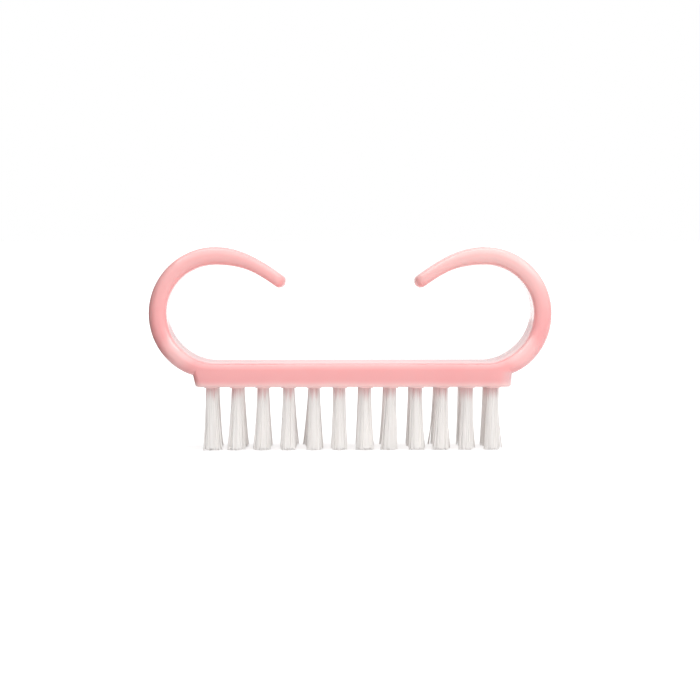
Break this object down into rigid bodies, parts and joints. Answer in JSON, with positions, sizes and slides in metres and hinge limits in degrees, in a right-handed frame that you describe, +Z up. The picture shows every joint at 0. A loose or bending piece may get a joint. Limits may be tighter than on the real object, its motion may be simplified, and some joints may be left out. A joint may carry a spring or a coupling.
{
  "type": "nail brush",
  "caption": "Small nail brush: a straight bar between two inward-curling horns that serve as finger grips, with rows of short bristle tufts below it.",
  "frame": {"origin": "middle of the bristle tips, on the surface that the brush stands on", "axes": "+X along the brush, +Y across it, +Z up from the bristle tips to the horns"},
  "size_m": [0.0644, 0.0144, 0.0324],
  "materials": {
    "handle_plastic": "glossy injection-moulded pink plastic, slightly translucent",
    "bristle_nylon": "fine translucent white nylon filaments with a soft sheen",
    "anchor_wire": "flat drawn wire, cut to length"
  },
  "bodies": {
    "root": {"handle": "handle_plastic", "tuft_r1_c01": "bristle_nylon", "tuft_r1_c02": "bristle_nylon", "tuft_r1_c03": "bristle_nylon", "tuft_r1_c04": "bristle_nylon", "tuft_r1_c05": "bristle_nylon", "tuft_r1_c06": "bristle_nylon", "tuft_r1_c07": "bristle_nylon", "tuft_r1_c08": "bristle_nylon", "tuft_r1_c09": "bristle_nylon", "tuft_r1_c10": "bristle_nylon", "tuft_r1_c11": "bristle_nylon", "tuft_r1_c12": "bristle_nylon", "tuft_r2_c01": "bristle_nylon", "tuft_r2_c02": "bristle_nylon", "tuft_r2_c03": "bristle_nylon", "tuft_r2_c04": "bristle_nylon", "tuft_r2_c05": "bristle_nylon", "tuft_r2_c06": "bristle_nylon", "tuft_r2_c07": "bristle_nylon", "tuft_r2_c08": "bristle_nylon", "tuft_r2_c09": "bristle_nylon", "tuft_r2_c10": "bristle_nylon", "tuft_r2_c11": "bristle_nylon", "tuft_r2_c12": "bristle_nylon", "tuft_r3_c01": "bristle_nylon", "tuft_r3_c02": "bristle_nylon", "tuft_r3_c03": "bristle_nylon", "tuft_r3_c04": "bristle_nylon", "tuft_r3_c05": "bristle_nylon", "tuft_r3_c06": "bristle_nylon", "tuft_r3_c07": "bristle_nylon", "tuft_r3_c08": "bristle_nylon", "tuft_r3_c09": "bristle_nylon", "tuft_r3_c10": "bristle_nylon", "tuft_r3_c11": "bristle_nylon", "tuft_r3_c12": "bristle_nylon", "tuft_r4_c01": "bristle_nylon", "tuft_r4_c02": "bristle_nylon", "tuft_r4_c03": "bristle_nylon", "tuft_r4_c04": "bristle_nylon", "tuft_r4_c05": "bristle_nylon", "tuft_r4_c06": "bristle_nylon", "tuft_r4_c07": "bristle_nylon", "tuft_r4_c08": "bristle_nylon", "tuft_r4_c09": "bristle_nylon", "tuft_r4_c10": "bristle_nylon", "tuft_r4_c11": "bristle_nylon", "tuft_r4_c12": "bristle_nylon", "anchors_row_1": "anchor_wire", "anchors_row_2": "anchor_wire", "anchors_row_3": "anchor_wire", "anchors_row_4": "anchor_wire"}
  },
  "joints": []
}
